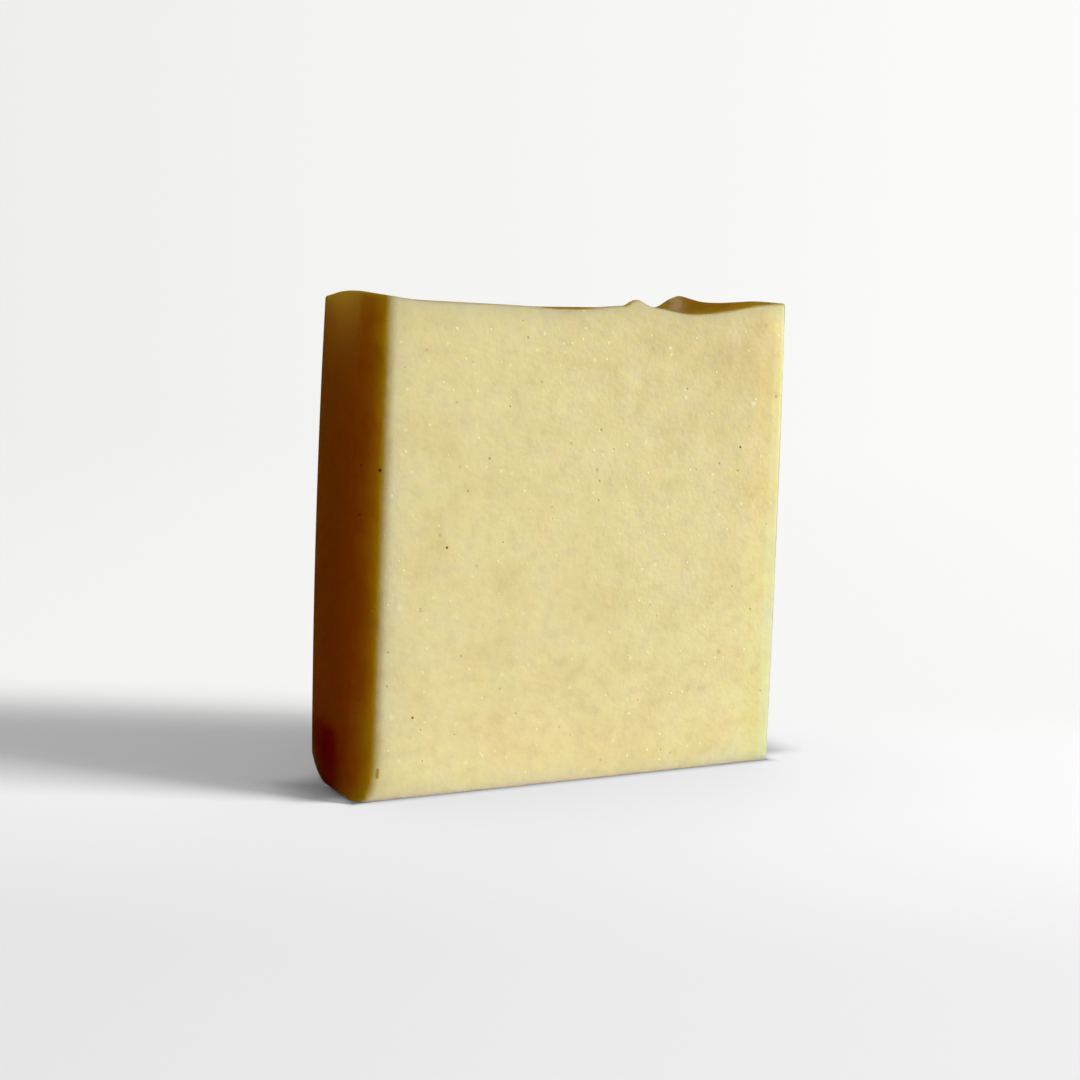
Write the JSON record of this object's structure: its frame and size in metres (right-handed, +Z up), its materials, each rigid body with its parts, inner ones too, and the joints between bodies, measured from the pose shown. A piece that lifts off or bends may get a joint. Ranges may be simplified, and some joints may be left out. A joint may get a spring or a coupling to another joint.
{
  "type": "soap bar",
  "caption": "Hand-cut bar of pale cream soap with fine specks, standing on edge, with an uneven poured top.",
  "frame": {"origin": "on the surface that the bar stands on, under the middle of its bounding box", "axes": "+X right along the broad front cut, +Y from the front cut to the back cut, +Z up to the poured top"},
  "size_m": [0.0787, 0.022, 0.0809],
  "materials": {
    "soap": "smooth waxy soap, slightly translucent, pale cream with fine specks"
  },
  "bodies": {
    "root": {"soap_bar": "soap"}
  },
  "joints": []
}
